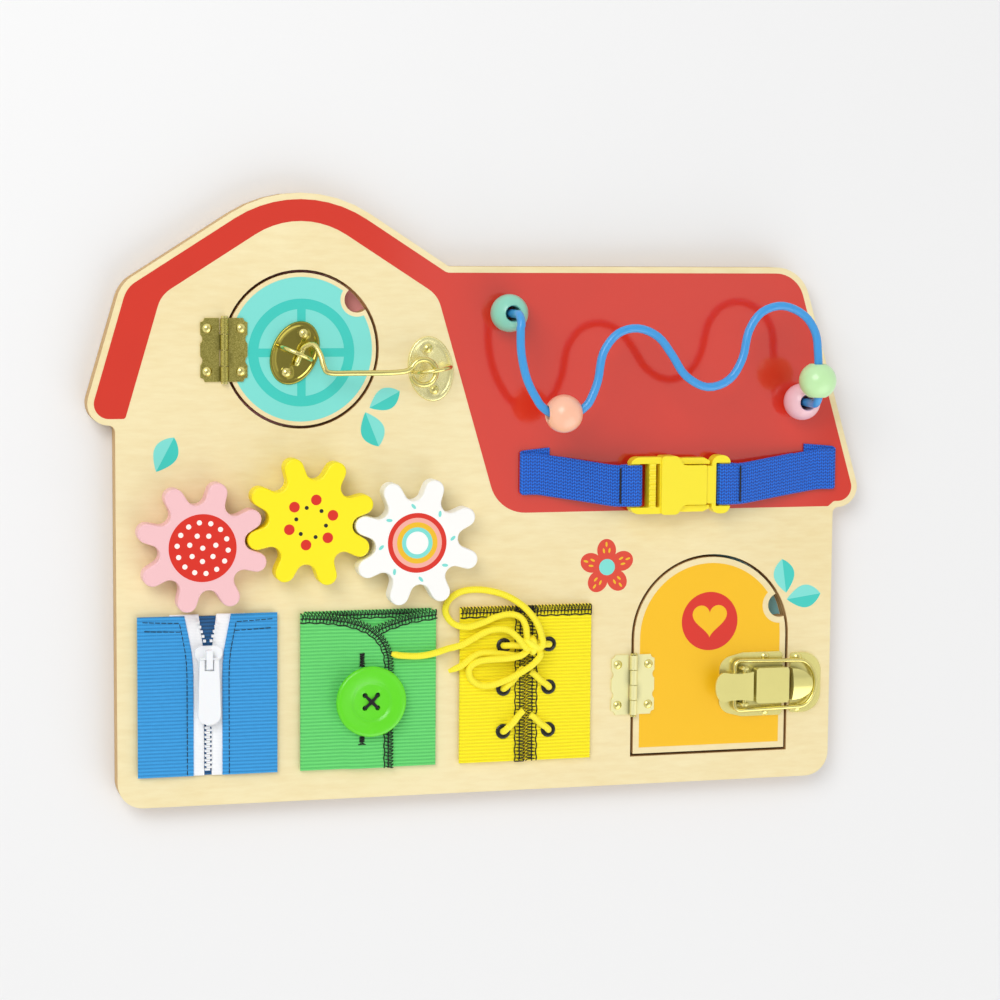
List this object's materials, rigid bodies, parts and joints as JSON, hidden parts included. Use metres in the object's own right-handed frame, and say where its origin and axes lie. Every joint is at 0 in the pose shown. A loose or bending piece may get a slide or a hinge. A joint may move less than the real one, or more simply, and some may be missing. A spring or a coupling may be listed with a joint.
{
  "type": "wooden busy board",
  "caption": "Flat barn-shaped activity board in birch plywood with hinged doors, gears, a bead run, a strap with a buckle, and zip, button and lace cloth patches.",
  "frame": {"origin": "under the middle of the board's bounding box, on the flat back face", "axes": "+X across the board to the right as seen from the front, +Y towards the roof, +Z out of the face"},
  "size_m": [0.3802, 0.2874, 0.051],
  "materials": {
    "plywood": "natural birch plywood, lightly sanded",
    "back_ply": "painted plywood sheet",
    "door_teal": "light teal paint on plywood",
    "door_yellow": "orange-yellow paint on plywood",
    "brass": "polished",
    "steel": "plated",
    "gear_pink": "satin paint",
    "gear_yellow": "satin paint",
    "gear_white": "satin paint",
    "dowel": "bare birch",
    "wire_blue": "glossy coated wire",
    "bead_mint": "glossy paint",
    "bead_peach": "glossy paint",
    "bead_lime": "glossy paint",
    "bead_pink": "glossy paint",
    "webbing_blue": "woven webbing",
    "buckle_yellow": "moulded",
    "cloth_blue": "ribbed elastic cloth",
    "cloth_green": "ribbed elastic cloth",
    "cloth_yellow": "ribbed elastic cloth",
    "zip_white": "moulded zip parts",
    "zip_tape": "woven tape",
    "button_green": "moulded",
    "thread_black": "sewing thread",
    "eyelet_black": "black enamel",
    "lace_yellow": "round braided lace"
  },
  "bodies": {
    "board": {"back_panel": "back_ply", "front_board": "plywood", "assembly_screws": "steel", "round_hinge_frame_leaf": "brass", "round_hinge_pin": "brass", "arched_hinge_frame_leaf": "brass", "arched_hinge_pin": "brass", "frame_nails": "brass", "hook_board_plate": "brass", "hook_board_staple": "brass", "latch_strike": "brass", "strike_rivets": "brass", "gear_washers": "dowel", "gear_axles": "dowel", "bead_wire": "wire_blue", "strap_left": "webbing_blue", "strap_right": "webbing_blue", "buckle_female": "buckle_yellow", "strap_screws": "brass", "zip_backing": "cloth_blue", "zip_left_flap": "cloth_blue", "zip_right_flap": "cloth_blue", "zip_tapes": "zip_tape", "zip_teeth": "zip_white", "button_backing": "cloth_green", "button_left_flap": "cloth_green", "button_right_flap": "cloth_green", "coat_button": "button_green", "button_thread": "thread_black", "lace_backing": "cloth_yellow", "lace_flaps": "cloth_yellow", "eyelets": "eyelet_black", "lace_rows": "lace_yellow", "lace_loops": "lace_yellow", "lace_ends": "lace_yellow"},
    "round_door": {"round_door": "door_teal", "round_hinge_door_leaf": "brass", "round_door_nails": "brass", "hook_door_plate": "brass", "hook_door_staple": "brass"},
    "hook": {"hook": "brass"},
    "arched_door": {"arched_door": "door_yellow", "arched_hinge_door_leaf": "brass", "arched_door_nails": "brass", "latch_base": "brass", "latch_rivets": "brass", "latch_pivot_pin": "brass"},
    "latch_lever": {"latch_lever": "brass"},
    "latch_bail": {"latch_bail": "brass"},
    "gear_pink": {"gear_pink": "gear_pink"},
    "gear_yellow": {"gear_yellow": "gear_yellow"},
    "gear_white": {"gear_white": "gear_white"},
    "mint_bead": {"mint_bead": "bead_mint"},
    "peach_bead": {"peach_bead": "bead_peach"},
    "lime_bead": {"lime_bead": "bead_lime"},
    "pink_bead": {"pink_bead": "bead_pink"},
    "buckle_male": {"buckle_male": "buckle_yellow", "buckle_prongs": "buckle_yellow"},
    "zip_slider": {"zip_slider": "zip_white"},
    "zip_pull": {"zip_pull": "zip_white"}
  },
  "joints": [
    {"name": "round_door_hinge", "type": "hinge", "parent": "board", "child": "round_door", "pos_m": [-0.127, 0.0709, 0.0139], "axis": [0, -1, 0], "range_deg": [0, 60]},
    {"name": "hook_swing", "type": "hinge", "parent": "board", "child": "hook", "pos_m": [-0.03427, 0.06046, 0.02323], "axis": [0, 0.7071, -0.7071], "range_deg": [0, 120]},
    {"name": "arched_door_hinge", "type": "hinge", "parent": "board", "child": "arched_door", "pos_m": [0.0742, -0.0939, 0.0139], "axis": [0, -1, 0], "range_deg": [0, 120]},
    {"name": "latch_lever_pivot", "type": "hinge", "parent": "arched_door", "child": "latch_lever", "pos_m": [0.1304, -0.096, 0.018], "axis": [0, 1, 0], "range_deg": [0, 140]},
    {"name": "latch_bail_pivot", "type": "hinge", "parent": "latch_lever", "child": "latch_bail", "pos_m": [0.1261, -0.096, 0.016], "axis": [0, 1, 0], "range_deg": [-180, 0]},
    {"name": "yellow_gear_spin", "type": "hinge", "parent": "board", "child": "gear_yellow", "pos_m": [-0.0883, -0.0091, 0.0152], "axis": [0, 0, 1], "continuous": true},
    {"name": "pink_gear_spin", "type": "hinge", "parent": "board", "child": "gear_pink", "pos_m": [-0.13916, -0.01991, 0.0152], "axis": [0, 0, 1], "continuous": true},
    {"name": "white_gear_spin", "type": "hinge", "parent": "board", "child": "gear_white", "pos_m": [-0.03744, -0.01991, 0.0152], "axis": [0, 0, 1], "continuous": true},
    {"name": "mint_bead_slide", "type": "slide", "parent": "board", "child": "mint_bead", "axis": [0, 0, 1], "range_m": [0, 0.007]},
    {"name": "pink_bead_slide", "type": "slide", "parent": "board", "child": "pink_bead", "axis": [0, 0, 1], "range_m": [0, 0.003]},
    {"name": "lime_bead_slide", "type": "slide", "parent": "board", "child": "lime_bead", "axis": [0, 1, 0], "range_m": [0, 0.006]},
    {"name": "peach_bead_spin", "type": "hinge", "parent": "board", "child": "peach_bead", "pos_m": [0.029, 0.0416, 0.042], "axis": [1, 0, 0], "continuous": true},
    {"name": "buckle_release", "type": "slide", "parent": "board", "child": "buckle_male", "axis": [1, 0, 0], "range_m": [0, 0.015], "deforming": ["buckle_prongs", "strap_right"]},
    {"name": "zip_slide", "type": "slide", "parent": "board", "child": "zip_slider", "axis": [0, -1, 0], "range_m": [0, 0.045], "deforming": ["zip_teeth", "zip_tapes"]},
    {"name": "zip_pull_hinge", "type": "hinge", "parent": "zip_slider", "child": "zip_pull", "pos_m": [-0.1353, -0.073, 0.01825], "axis": [-1, 0, 0], "range_deg": [0, 155]}
  ],
  "couplings": [
    {"joint": "hook_swing", "follows": "round_door_hinge", "ratio": 2},
    {"joint": "latch_bail_pivot", "follows": "latch_lever_pivot", "ratio": -1.15},
    {"joint": "pink_gear_spin", "follows": "yellow_gear_spin", "ratio": -1},
    {"joint": "white_gear_spin", "follows": "yellow_gear_spin", "ratio": -1}
  ]
}
